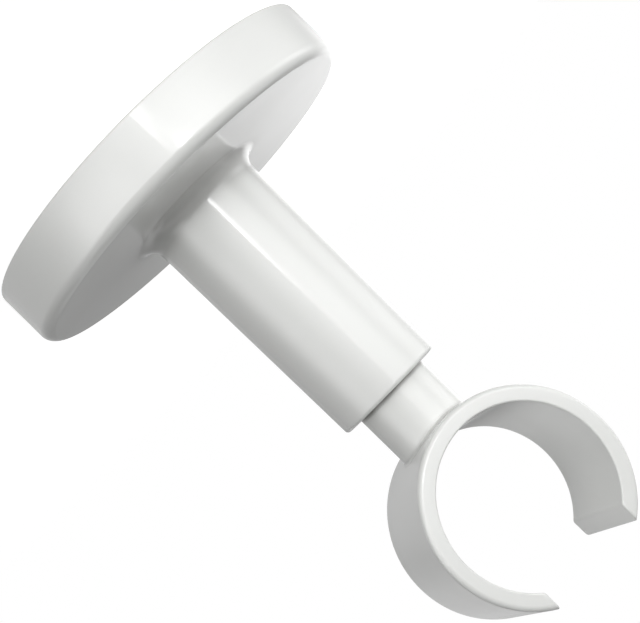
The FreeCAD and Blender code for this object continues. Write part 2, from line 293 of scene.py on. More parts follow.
    def shade(self, sharp_from: float) -> None:
        """Shades the piece smooth, with edges kept crisp and large faces kept true.

        Args:
            sharp_from: The angle between faces, in radians, from which an edge is crisp.
        """
        self.make_active()
        bpy.ops.object.shade_smooth_by_angle(angle=sharp_from)
        modifier = self.item.modifiers.new("true_faces", "WEIGHTED_NORMAL")
        modifier.keep_sharp = True
        bpy.ops.object.modifier_apply(modifier=modifier.name)

    def hand_over(self, node: str, slot: str, body: Body, finish: Material) -> None:
        """Gives the piece its finish and puts it in place of its node.

        Args:
            node: The node of the frame that it stands for.
            slot: The material slot of the record; not used.
            body: The body that it moves with.
            finish: Its material.
        """
        self.item.data.materials.clear()
        self.item.data.materials.append(finish)
        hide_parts(node)
        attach(self.item, body.value)
        log.info("%s: %d faces, stands for %s", self.item.name, len(self.item.data.polygons), node)


# Finishes


def linear_colour(code: str) -> tuple[float, float, float, float]:
    """Turns an sRGB hex colour to linear light.

    Args:
        code: The colour, such as "#e8e8e6".

    Returns:
        Red, green, blue and an alpha of one.
    """
    channels = []
    for start in (1, 3, 5):
        value = int(code[start:start + 2], 16) / 255
        channels.append(value / 12.92 if value <= 0.04045 else ((value + 0.055) / 1.055) ** 2.4)
    return (*channels, 1.0)


def add_node(tree: NodeTree, kind: str, inputs: dict | None = None, **settings) -> bpy.types.Node:
    """Adds a node with its settings, values and links.

    Args:
        tree: The node tree.
        kind: The node's type, without the "ShaderNode" before it.
        inputs: A value, or a socket to link from, for each named or numbered input.
        **settings: The node's own properties.

    Returns:
        The node.
    """
    node = tree.nodes.new(f"ShaderNode{kind}")
    for name, value in settings.items():
        setattr(node, name, value)
    for socket, value in (inputs or {}).items():
        if isinstance(value, Socket):
            tree.links.new(value, node.inputs[socket])
        else:
            node.inputs[socket].default_value = value
    return node


def reckon(tree: NodeTree, operation: str, *values: Socket | float) -> Socket:
    """Works out a value from others by an operation of the Math node."""
    return add_node(tree, "Math", dict(enumerate(values)), operation=operation).outputs["Value"]


def ramp(tree: NodeTree, value: Socket, start: float, end: float) -> Socket:
    """Rises softly from nought at the start to one at the end, which may be less than the start."""
    inputs = {"Value": value, "From Min": start, "From Max": end}
    return add_node(tree, "MapRange", inputs, interpolation_type="SMOOTHSTEP").outputs["Result"]


def spread(tree: NodeTree, value: Socket, span: tuple[float, float], ends: tuple[float, float]) -> Socket:
    """Maps a span of values evenly to a range with these ends."""
    return add_node(tree, "MapRange", {
        "Value": value, "From Min": span[0], "From Max": span[1], "To Min": ends[0], "To Max": ends[1],
    }).outputs["Result"]


def noise(tree: NodeTree, place: Socket, spacing: float, detail: float, roughness: float) -> Socket:
    """Makes a noise whose lumps are this far apart."""
    return add_node(tree, "TexNoise", {
        "Vector": place, "Scale": 1 / spacing, "Detail": detail, "Roughness": roughness,
    }).outputs["Fac"]


def blend(tree: NodeTree, share: Socket, first: Sequence[float], second: Sequence[float] | Socket) -> Socket:
    """Blends two colours by the share of the second one."""
    inputs = {"Factor": share, MIX_COLOURS[0]: first, MIX_COLOURS[1]: second}
    return add_node(tree, "Mix", inputs, data_type="RGBA").outputs[MIX_COLOUR_RESULT]


def relief(tree: NodeTree, pattern: Socket, height: float) -> Socket:
    """Turns a pattern into a relief of this height."""
    inputs = {"Height": pattern, "Distance": height, "Strength": 1.0}
    return add_node(tree, "Bump", inputs).outputs["Normal"]


def show(tree: NodeTree, settings: dict) -> None:
    """Ends a material with a principled shader of these settings."""
    shader = add_node(tree, "BsdfPrincipled", settings)
    add_node(tree, "OutputMaterial", {"Surface": shader.outputs["BSDF"]})


def new_material(name: str) -> tuple[Material, NodeTree, Socket]:
    """Makes a material with one node, for Object coordinates.

    Args:
        name: Its name.

    Returns:
        The material, its node tree and the coordinates.
    """
    material = bpy.data.materials.new(name)
    material.use_nodes = True
    material.node_tree.nodes.clear()
    tree = material.node_tree
    return material, tree, add_node(tree, "TexCoord").outputs["Object"]


@dataclass(frozen=True)
class PowderCoat:
    """White polyester powder coat, sprayed on a zinc casting and cured.

    The eye sees a clean neutral white with a clear gloss. The film has flowed over every edge, and a
    faint orange peel makes reflections waver. Inner corners are darker and browner, which is painted
    shade: an ambient-occlusion mask darkens the colour where little open sky is seen, in hollows and
    in the gap where the stem leaves the barrel.

    Attributes:
        name: The material's name.
        corner_reach: How far the painted shade reaches from a corner.
        own_corners: Whether only the piece's own hollows count, and not its neighbours.
        closed: Share of open sky at which the colour is wholly that of the painted shade.
    """

    name: str
    corner_reach: float
    own_corners: bool
    closed: float = 0.4

    white: str = "#ecedeb"
    shade: str = "#e6e7e4"
    # Colour of the painted shade in inner corners, a dull grey-brown.
    corner: str = "#4c4236"
    peel_spacing: float = 1.6 * MM
    peel_height: float = 0.0012 * MM
    cloud_spacing: float = 14 * MM
    roughness: tuple[float, float] = (0.30, 0.38)
    coat_roughness: float = 0.045
    index: float = 1.5

    def make(self) -> Material:
        """Builds the material."""
        material, tree, place = new_material(self.name)
        clouds = noise(tree, place, self.cloud_spacing, 3.0, 0.5)
        tint = blend(tree, clouds, linear_colour(self.white), linear_colour(self.shade))
        wavy = relief(tree, noise(tree, place, self.peel_spacing, 1.0, 0.4), self.peel_height)
        show(tree, {
            "Base Color": self.painted_corner_shade(tree, tint),
            "Roughness": spread(tree, clouds, NOISE_SPAN, self.roughness),
            "IOR": self.index,
            "Coat Weight": 1.0,
            "Coat Roughness": self.coat_roughness,
            "Coat IOR": self.index,
            "Normal": wavy,
            "Coat Normal": wavy,
        })
        return material

    def painted_corner_shade(self, tree: NodeTree, full: Socket) -> Socket:
        """Paints shade into the colour in inner corners.

        Args:
            tree: The material's node tree.
            full: The colour elsewhere.

        Returns:
            The colour.
        """
        reach = {"Distance": self.corner_reach}
        # Painted shade: the less open sky the ambient-occlusion node finds, the nearer the colour comes to
        # the corner colour.
        sky = add_node(tree, "AmbientOcclusion", reach, only_local=self.own_corners)
        share = spread(tree, sky.outputs["AO"], (self.closed, 1.0), (0.0, 1.0))
        return blend(tree, share, linear_colour(self.corner), full)


@dataclass(frozen=True)
class ZincPlatedSheet:
    """Cold-rolled steel sheet, pressed and then plated with bright zinc.

    The eye sees a cool silvery metal whose gloss is broken by fine rolling lines and by a soft
    mottle of the plating.
    """

    bright: str = "#cdd2d6"
    dull: str = "#a9afb4"
    grain_spacing: float = 0.35 * MM
    grain_length: float = 12 * MM
    grain_height: float = 0.004 * MM
    mottle_spacing: float = 5 * MM
    roughness: tuple[float, float] = (0.24, 0.42)

    def make(self) -> Material:
        """Builds the material."""
        material, tree, place = new_material("bright_zinc_plated_steel")
        stretched = add_node(tree, "Mapping", {
            "Vector": place,
            "Scale": (1 / self.grain_spacing, 1 / self.grain_length, 1 / self.grain_spacing),
        }).outputs["Vector"]
        mottle = noise(tree, place, self.mottle_spacing, 4.0, 0.6)
        show(tree, {
            "Base Color": blend(tree, mottle, linear_colour(self.bright), linear_colour(self.dull)),
            "Metallic": 1.0,
            "Roughness": spread(tree, mottle, NOISE_SPAN, self.roughness),
            "Normal": relief(tree, noise(tree, stretched, 1.0, 2.0, 0.6), self.grain_height),
        })
        return material


@dataclass(frozen=True)
class TurnedSteel:
    """Turned steel with a thin bright zinc plating, as on small grub screws.

    The eye sees fine rings round the screw's axis, left by the tool, in a slightly darker metal than
    the pressed plate.
    """

    metal: str = "#b9bdc1"
    recess: str = "#8e9296"
    ring_spacing: float = 0.16 * MM
    ring_height: float = 0.003 * MM
    mottle_spacing: float = 1.5 * MM
    roughness: tuple[float, float] = (0.22, 0.36)

    def make(self, name: str, axis_height: float) -> Material:
        """Builds the material for a screw that lies along X.

        Args:
            name: The material's name.
            axis_height: The height of the screw's axis.

        Returns:
            The material.
        """
        material, tree, place = new_material(name)
        centred = add_node(tree, "Mapping", {
            "Vector": place, "Location": (0, 0, -axis_height),
        }).outputs["Vector"]
        rings = add_node(tree, "TexWave", {
            "Vector": centred,
            "Scale": math.pi / (WAVE_SCALE * self.ring_spacing),
            "Distortion": 0.4,
            "Detail": 2.0,
        }, wave_type="RINGS", rings_direction="X").outputs["Fac"]
        mottle = noise(tree, place, self.mottle_spacing, 3.0, 0.5)
        show(tree, {
            "Base Color": blend(tree, mottle, linear_colour(self.metal), linear_colour(self.recess)),
            "Metallic": 1.0,
            "Roughness": spread(tree, mottle, NOISE_SPAN, self.roughness),
            "Normal": relief(tree, rings, self.ring_height),
        })
        return material


# Pieces


@dataclass
class FixingPlate:
    """The pressed dish that is screwed to the wall, hidden under the rose."""

    rim_radius: float = 24.4 * MM
    lip_radius: float = 25.0 * MM
    height: float = 6.8 * MM
    sheet: float = 1.2 * MM
    bend: float = 0.8 * MM
    sheared_edge: float = 0.12 * MM
    hole_radius: float = 2.4 * MM
    hole_circle: float = 15 * MM
    holes: int = 3
    steps: int = 160
    hole_steps: int = 48
    crisp_from: float = math.radians(30)

    def build(self) -> Workpiece:
        """Turns the dish and punches its screw holes.

        Returns:
            The plate.
        """
        inside = self.rim_radius - self.sheet
        under_lip = self.height - self.sheet
        plate = Workpiece.turned("wall_fixing_plate_pressed", [
            Corner(0, 0),
            Corner(self.rim_radius, 0, self.bend + self.sheet, 8),
            Corner(self.rim_radius, under_lip, self.sheared_edge * 2, 4),
            Corner(self.lip_radius, under_lip, self.sheared_edge, 3),
            Corner(self.lip_radius, self.height, self.sheared_edge, 3),
            Corner(inside, self.height, self.bend, 6),
            Corner(inside, self.sheet, self.bend, 6),
            Corner(0, self.sheet),
        ], self.steps)
        for index in range(self.holes):
            plate.work_with(self.punch(index), Combine.CUT)
        plate.shade(self.crisp_from)
        return plate

    def punch(self, index: int) -> Workpiece:
        """Makes the tool for one screw hole, with the drawn-in edge that a punch leaves on top.

        Args:
            index: Which hole it is for.

        Returns:
            The tool.
        """
        past = 1 * MM
        drawn_in = 2 * self.sheared_edge
        tool = Workpiece.turned("punch", [
            Corner(0, -past),
            Corner(self.hole_radius, -past),
            Corner(self.hole_radius, self.sheet - drawn_in, drawn_in, 4),
            Corner(self.hole_radius + drawn_in, self.sheet + drawn_in / 2),
            Corner(self.hole_radius + drawn_in, self.sheet + past),
            Corner(0, self.sheet + past),
        ], self.hole_steps)
        tool.move(Vector((self.hole_circle, 0, 0)))
        tool.turn(index * FULL_TURN / self.holes, UP)
        return tool


@dataclass
class RoseWithBarrel:
    """The hollow round rose and its slightly tapered barrel, cast in one piece and coated."""

    radius: float = 30 * MM
    depth: float = 9.5 * MM
    side_wall: float = 2.0 * MM
    front_wall: float = 2.4 * MM
    front_round: float = 1.7 * MM
    coated_edge: float = 0.3 * MM
    root_radius: float = 9.45 * MM
    root_fillet: float = 2.7 * MM
    mouth_radius: float = 8.95 * MM
    mouth_round: float = 0.6 * MM
    length: float = 40 * MM
    bore_radius: float = 6.33 * MM
    bore_edge: float = 0.35 * MM
    pad_face: float = 25.3 * MM
    pad_width: float = 7 * MM
    pad_setback: float = 0.6 * MM
    pads: int = 3
    screw_hole: float = 2.05 * MM
    screw_hole_edge: float = 0.25 * MM
    rim_screw_height: float = 3.4 * MM
    lock_screw_height: float = 41.5 * MM
    steps: int = 256
    hole_steps: int = 64
    crisp_from: float = math.radians(32)

    @property
    def mouth_height(self) -> float:
        """Height of the barrel's mouth above the wall."""
        return self.depth + self.length

    def barrel_radius(self, height: float) -> float:
        """Outside radius of the tapered barrel at a height."""
        share = (height - self.depth) / self.length
        return self.root_radius + (self.mouth_radius - self.root_radius) * share

    def build(self) -> Workpiece:
        """Turns the shell, joins the pads and cuts the two screw holes.

        Returns:
            The rose with its barrel.
        """
        inside = self.radius - self.side_wall
        roof = self.depth - self.front_wall
        barrel_stations = [
            Corner(self.barrel_radius(height), height)
            for height in (
                self.lock_screw_height - 2 * self.screw_hole,
                self.lock_screw_height + 2 * self.screw_hole,
            )
        ]
        rose = Workpiece.turned("rose_with_barrel_cast", [
            Corner(inside, 0, self.coated_edge, 4),
            Corner(self.radius, 0, self.coated_edge, 4),
            Corner(self.radius, self.depth, self.front_round, 12),
            Corner(self.root_radius, self.depth, self.root_fillet, 14),
            *barrel_stations,
            Corner(self.mouth_radius, self.mouth_height, self.mouth_round, 10),
            Corner(self.bore_radius, self.mouth_height, self.bore_edge, 5),
            Corner(self.bore_radius, roof),
            Corner(inside, roof, 2 * self.coated_edge, 4),
        ], self.steps)
        for index in range(self.pads):
            rose.work_with(self.pad(index, roof), Combine.JOIN)
        rose.work_with(self.drill("rim_drill", self.radius, self.rim_screw_height), Combine.CUT)
        lock_surface = self.barrel_radius(self.lock_screw_height)
        rose.work_with(self.drill("lock_drill", lock_surface, self.lock_screw_height), Combine.CUT)
        rose.shade(self.crisp_from)
        return rose

    def pad(self, index: int, roof: float) -> Workpiece:
        """Makes one locating pad on the inside of the rim.

        Args:
            index: Which pad. The first one carries the rim screw.
            roof: Height of the underside of the rose's front.

        Returns:
            The pad, reaching into the rim and the front.
        """
        sunk = self.side_wall / 2
        pad = Workpiece.block(
            "pad",
            Vector((self.pad_face, -self.pad_width / 2, self.pad_setback)),
            Vector((self.radius - sunk, self.pad_width / 2, roof + sunk)),
        )
        pad.turn(math.pi + index * FULL_TURN / self.pads, UP)
        return pad

    def drill(self, name: str, surface: float, height: float) -> Workpiece:
        """Makes the tool for one screw hole on the -X side, with a small countersink.

        Args:
            name: The tool's name.
            surface: Distance of the outer surface from the Z axis.
            height: Height of the hole.

        Returns:
            The tool.
        """
        through = surface / 2
        past = 2 * MM
        tool = Workpiece.turned(name, [
            Corner(0, through),
            Corner(self.screw_hole, through),
            Corner(self.screw_hole, surface - self.screw_hole_edge),
            Corner(self.screw_hole + self.screw_hole_edge + past, surface + past),
            Corner(0, surface + past),
        ], self.hole_steps)
        tool.turn(-math.pi / 2, ALONG_POLE)
        tool.move(Vector((0, 0, height)))
        return tool


@dataclass
class PoleRingWithStem:
    """The open ring that holds the pole, and the stem that slides in the barrel, in one piece."""

    centre_height: float
    inner_radius: float
    wall: float = 2.55 * MM
    width: float = 21.5 * MM
    slot_width: float = 16.8 * MM
    outer_round: float = 0.8 * MM
    edge_round: float = 0.25 * MM
    stem_radius: float = 6.25 * MM
    stem_fillet: float = 0.5 * MM
    tail_height: float = 11.2 * MM
    tail_chamfer: float = 0.6 * MM
    flat_depth: float = 1.8 * MM
    flat_bottom: float = 14.2 * MM
    flat_top: float = 43.8 * MM
    arc_steps: int = 160
    stem_steps: int = 160
    fillet_steps: int = 8
    outer_steps: int = 8
    edge_steps: int = 4
    sunk: float = 0.004 * MM
    near_circle: float = 0.02 * MM
    crisp_from: float = math.radians(32)

    @property
    def outer_radius(self) -> float:
        """Outside radius of the ring."""
        return self.inner_radius + self.wall

    def build(self) -> Workpiece:
        """Makes the ring, joins the stem to it and mills the flat.

        Returns:
            The ring with its stem.
        """
        ring = self.open_ring()
        ring.work_with(self.stem(), Combine.JOIN)
        ring.work_with(self.mill(), Combine.CUT)
        ring.shade(self.crisp_from)
        return ring

    def wall_strip(self, name: str, radius: float) -> Workpiece:
        """Sweeps a line along the pole round the ring, from one side of the opening to the other.

        Args:
            name: The strip's name.
            radius: Its radius.

        Returns:
            The strip, in edit mode.
        """
        half_slot = self.slot_width / 2
        start = Vector((half_slot, 0, self.centre_height + math.sqrt(radius ** 2 - half_slot ** 2)))
        half_width = ALONG_POLE * self.width / 2
        strip = Workpiece.from_point(name, start - half_width)
        strip.draw_through([start - half_width, start + half_width])
        half_opening = math.asin(half_slot / radius)
        centre = Vector((0, 0, self.centre_height))
        strip.spin(self.arc_steps, -(FULL_TURN - 2 * half_opening), centre, ALONG_POLE)
        return strip

    def open_ring(self) -> Workpiece:
        """Makes the ring from its two curved walls, closes its rims and ends and rounds its edges.

        Returns:
            The ring, in object mode.
        """
        inner = self.wall_strip("inner_wall", self.inner_radius)
        ring = self.wall_strip("pole_ring_with_stem_cast", self.outer_radius)
        clear_selection()
        inner.item.select_set(True)
        ring.item.select_set(True)
        bpy.context.view_layer.objects.active = ring.item
        bpy.ops.object.join()
        half_width = self.width / 2
        for side in (-half_width, half_width):
            ring.pick(Pick.EDGES, lambda at: abs(at.y - side) < TOUCHING)
            bpy.ops.mesh.bridge_edge_loops()
        half_slot = self.slot_width / 2
        for side in (-half_slot, half_slot):
            ring.pick(Pick.POINTS, lambda at: abs(at.x - side) < TOUCHING and at.z > self.centre_height)
            bpy.ops.mesh.edge_face_add()
        ring.mend()
        self.round_ring_edges(ring)
        return ring

    def round_ring_edges(self, ring: Workpiece) -> None:
        """Rounds the borders of both rims, more on the outside, and the edges of the two ends.

        Args:
            ring: The ring, still sharp.
        """
        def on_border(at: Vector, radius: float) -> bool:
            """Tells whether an edge's middle is on a rim's border of this radius."""
            from_axis = math.hypot(at.x, at.z - self.centre_height)
            return abs(abs(at.y) - self.width / 2) < TOUCHING and abs(from_axis - radius) < self.near_circle

        def on_end(at: Vector) -> bool:
            """Tells whether an edge's middle is on one of the two ends."""
            return abs(abs(at.x) - self.slot_width / 2) < TOUCHING and at.z > self.centre_height

        ring.pick(Pick.EDGES, lambda at: on_border(at, self.outer_radius))
        ring.bevel(self.outer_round, self.outer_steps, "EDGES")
        ring.pick(Pick.EDGES, lambda at: on_border(at, self.inner_radius) or on_end(at))
        ring.bevel(self.edge_round, self.edge_steps, "EDGES")
        bpy.ops.object.mode_set(mode="OBJECT")

    def fillet_point(self, angle: float, share: float) -> Vector:
        """Finds a point of the fillet between the stem and the ring.

        A ball that touches both the stem and the ring's outside rolls round the stem. The fillet is
        its arc between the two touching points.

        Args:
            angle: Where it is, round the stem.
            share: Nought on the stem, one on the ring.

        Returns:
            The point.
        """
        ring_radius = self.outer_radius - self.sunk
        out = self.stem_radius + self.stem_fillet
        across, along = out * math.cos(angle), out * math.sin(angle)
        reach = ring_radius + self.stem_fillet
        ball = Vector((across, along, self.centre_height - math.sqrt(reach ** 2 - across ** 2)))
        to_stem = Vector((-math.cos(angle), -math.sin(angle), 0))
        to_ring = (Vector((0, along, self.centre_height)) - ball).normalized()
        return ball + to_stem.slerp(to_ring, share) * self.stem_fillet

    def stem(self) -> Workpiece:
        """Draws the stem up from its chamfered tail to the fillet that meets the ring.

        Returns:
            The stem, its top sunk in the ring's wall.
        """
        clear_selection()
        bpy.ops.mesh.primitive_circle_add(
            vertices=self.stem_steps,
            radius=self.stem_radius - self.tail_chamfer,
            fill_type="NGON",
            location=(0, 0, self.tail_height),
        )
        stem = Workpiece(bpy.context.object, "stem")
        bpy.ops.object.mode_set(mode="EDIT")
        bpy.ops.mesh.select_all(action="SELECT")
        grow = self.stem_radius / (self.stem_radius - self.tail_chamfer)
        self.lift(self.tail_chamfer)
        bpy.ops.transform.resize(value=(grow, grow, 1), center_override=(0, 0, 0))
        straight_top = self.centre_height - self.outer_radius - 2 * self.stem_fillet
        self.lift(straight_top - self.tail_height - self.tail_chamfer)
        for step in range(self.fillet_steps + 1):
            self.lift(self.stem_fillet)
            self.lay_loop(stem, step / self.fillet_steps)
        self.lift(self.wall / 2)
        stem.mend()
        return stem

    def lift(self, height: float) -> None:
        """Extrudes the selected top upwards."""
        bpy.ops.mesh.extrude_region_move(TRANSFORM_OT_translate={"value": (0, 0, height)})

    def lay_loop(self, stem: Workpiece, share: float) -> None:
        """Lays the selected top loop on the fillet.

        Args:
            stem: The stem.
            share: Nought on the stem, one on the ring.
        """
        bpy.ops.object.mode_set(mode="OBJECT")
        for point in stem.item.data.vertices:
            if point.select:
                point.co = self.fillet_point(math.atan2(point.co.y, point.co.x), share)
        bpy.ops.object.mode_set(mode="EDIT")

    def mill(self) -> Workpiece:
        """Makes the block that cuts the flat on the -X side, where the locking screw bears."""
        flat_face = -(self.stem_radius - self.flat_depth)
        return Workpiece.block(
            "mill",
            Vector((-2 * self.stem_radius, -self.stem_radius, self.flat_bottom)),
            Vector((flat_face, self.stem_radius, self.flat_top)),
        )


@dataclass
class GrubScrew:
    """A headless screw with a cut thread and a hexagon socket, lying along -X."""

    name: str
    point: float
    length: float
    height: float
    radius: float = 1.97 * MM
    pitch: float = 0.7 * MM
    thread_depth: float = 0.38 * MM
    crest: float = 0.12 * MM
    chamfer: float = 0.4 * MM
    socket_flats: float = 2 * MM
    socket_depth: float = 2 * MM
    socket_sides: int = 6
    steps: int = 48
    crisp_from: float = math.radians(25)

    def build(self) -> Workpiece:
        """Sinks the socket in a chamfered blank and trims a cut thread to it.

        Returns:
            The screw, in its place.
        """
        blank = self.blank()
        blank.work_with(self.socket(), Combine.CUT, Solver.CLOSED_MESHES)
        screw = self.thread()
        screw.work_with(blank, Combine.KEEP_COMMON, Solver.CLOSED_MESHES)
        screw.turn(-math.pi / 2, ALONG_POLE)
        screw.move(Vector((-self.point, 0, self.height)))
        screw.shade(self.crisp_from)
        return screw

    def thread(self) -> Workpiece:
        """Winds one tooth of the thread upwards into a rod that is longer than the screw.

        Returns:
            The threaded rod, closed and flat at both ends.
        """
        spare = 2 * self.pitch
        root = self.radius - self.thread_depth
        flank = (self.pitch - 2 * self.crest) / 2
        half_crest = self.crest / 2
        outline = (
            (root, 0),
            (root, half_crest),
            (self.radius, half_crest + flank),
            (self.radius, half_crest + flank + self.crest),
            (root, self.pitch - half_crest),
            (root, self.pitch),
        )
        places = [Vector((radius, 0, height - spare)) for radius, height in outline]
        rod = Workpiece.from_point(self.name, places[0])
        rod.draw_through(places)
        rod.make_active()
        modifier = rod.item.modifiers.new("wind", "SCREW")
        modifier.axis = "Z"
        modifier.angle = FULL_TURN
        modifier.screw_offset = self.pitch
        modifier.iterations = math.ceil((self.length + 2 * spare) / self.pitch)
        modifier.steps = modifier.render_steps = self.steps
        modifier.use_merge_vertices = True
        bpy.ops.object.modifier_apply(modifier=modifier.name)
        rod.mend()
        bpy.ops.object.mode_set(mode="EDIT")
        between_points = self.pitch / self.steps / 2
        turns = math.ceil(self.length / self.pitch)
        for count, side in ((-0.5, -1), (turns + 0.5, 1)):
            bpy.ops.mesh.select_all(action="SELECT")
            bpy.ops.mesh.bisect(
                plane_co=(0, 0, count * self.pitch + between_points), plane_no=(0, 0, side),
                use_fill=True, clear_outer=True, threshold=MERGE_LIMIT,
            )
        rod.mend()
        return rod

    def blank(self) -> Workpiece:
        """Makes the chamfered rod that the thread is trimmed to."""
        tip = self.radius - self.chamfer
        return Workpiece.turned("blank", [
            Corner(0, 0),
            Corner(tip, 0),
            Corner(self.radius, self.chamfer),
            Corner(self.radius, self.length - self.chamfer),
            Corner(tip, self.length),
            Corner(0, self.length),
        ], self.steps)

    def socket(self) -> Workpiece:
        """Makes the tool for the hexagon socket, which starts past the screw's outer end.

        Returns:
            The tool.
        """
        across_corners = self.socket_flats / math.cos(math.pi / self.socket_sides)
        past = 1 * MM
        length = self.socket_depth + past
        clear_selection()
        bpy.ops.mesh.primitive_cylinder_add(
            radius=across_corners / 2, depth=length, vertices=self.socket_sides,
            location=(0, 0, self.length - self.socket_depth + length / 2),
        )
        return Workpiece(bpy.context.object, "socket")


# Studio


def direction(azimuth: float, elevation: float) -> Vector:
    """Finds the way towards an azimuth, where nought is -Y and a quarter turn is +X, and elevation."""
    flat = math.cos(elevation)
    return Vector((math.sin(azimuth) * flat, -math.cos(azimuth) * flat, math.sin(elevation)))


@dataclass(frozen=True)
class PhotoCamera:
    """The camera at the photograph's viewing angle."""

    place: Vector = Vector((64.26, -219.03, 45.71)) * MM
    azimuth: float = math.radians(16.6046)
    elevation: float = math.radians(2.9308)
    roll: float = math.radians(134.2704)
    sensor: float = 36.0
    lens: float = 87.669
    nearest: float = 10 * MM

    def set_up(self) -> None:
        """Adds the camera and makes it the scene's own."""
        back = direction(self.azimuth, self.elevation)
        level = Vector((math.cos(self.azimuth), math.sin(self.azimuth), 0))
        upright = Matrix((level, back.cross(level), back)).transposed()
        turned = Matrix.Rotation(self.roll, 3, back) @ upright
        data = bpy.data.cameras.new("photo_camera")
        data.sensor_width = self.sensor
        data.lens = self.lens
        data.clip_start = self.nearest
        camera = bpy.data.objects.new("photo_camera", data)
        camera.matrix_world = Matrix.Translation(self.place) @ turned.to_4x4()
        bpy.context.scene.collection.objects.link(camera)
        bpy.context.scene.camera = camera


@dataclass(frozen=True)
class SoftLight:
    """A rectangular diffuser that faces the arm.

    Attributes:
        name: Its name.
        azimuth: Its azimuth, in degrees.
        elevation: Its elevation, in degrees.
        distance: Distance from the place that it faces.
        width: Its width.
        height: Its height.
        brightness: Its radiance, where one is as bright as lit white paper.
        feather: Shares of its width and height over which it fades at its four sides, in the order
            low azimuth, high azimuth, bottom, top.
        aim_height: Height of the place on the arm that it faces.
    """

    name: str
    azimuth: float
    elevation: float
    distance: float
    width: float
    height: float
    brightness: float
    feather: tuple[float, float, float, float] = (0.4, 0.4, 0.35, 0.35)
    aim_height: float = 45 * MM

    def set_up(self) -> None:
        """Adds the light."""
        data = bpy.data.lights.new(self.name, "AREA")
        data.shape = "RECTANGLE"
        data.size = self.width
        data.size_y = self.height
        data.energy = math.pi * self.width * self.height
        self.make_diffuser(data)
        light = bpy.data.objects.new(self.name, data)
        way = direction(math.radians(self.azimuth), math.radians(self.elevation))
        light.location = Vector((0, 0, self.aim_height)) + way * self.distance
        light.rotation_euler = way.to_track_quat("Z", "Y").to_euler()
        light.visible_camera = False
        bpy.context.scene.collection.objects.link(light)

    def make_diffuser(self, data: bpy.types.AreaLight) -> None:
        """Makes the light fade at its sides."""
        data.use_nodes = True
        tree = data.node_tree
        tree.nodes.clear()
        place = add_node(tree, "NewGeometry").outputs["Parametric"]
        across, up, _ = add_node(tree, "SeparateXYZ", {"Vector": place}).outputs
        left, right, bottom, top = self.feather
        strength: Socket | float = self.brightness
        sides = ((across, 0, left), (across, 1, 1 - right), (up, 0, bottom), (up, 1, 1 - top))
        for part, side, end in sides:
            strength = reckon(tree, "MULTIPLY", strength, ramp(tree, part, side, end))
        glow = add_node(tree, "Emission", {"Color": WHITE, "Strength": strength})
        add_node(tree, "OutputLight", {"Surface": glow.outputs["Emission"]})


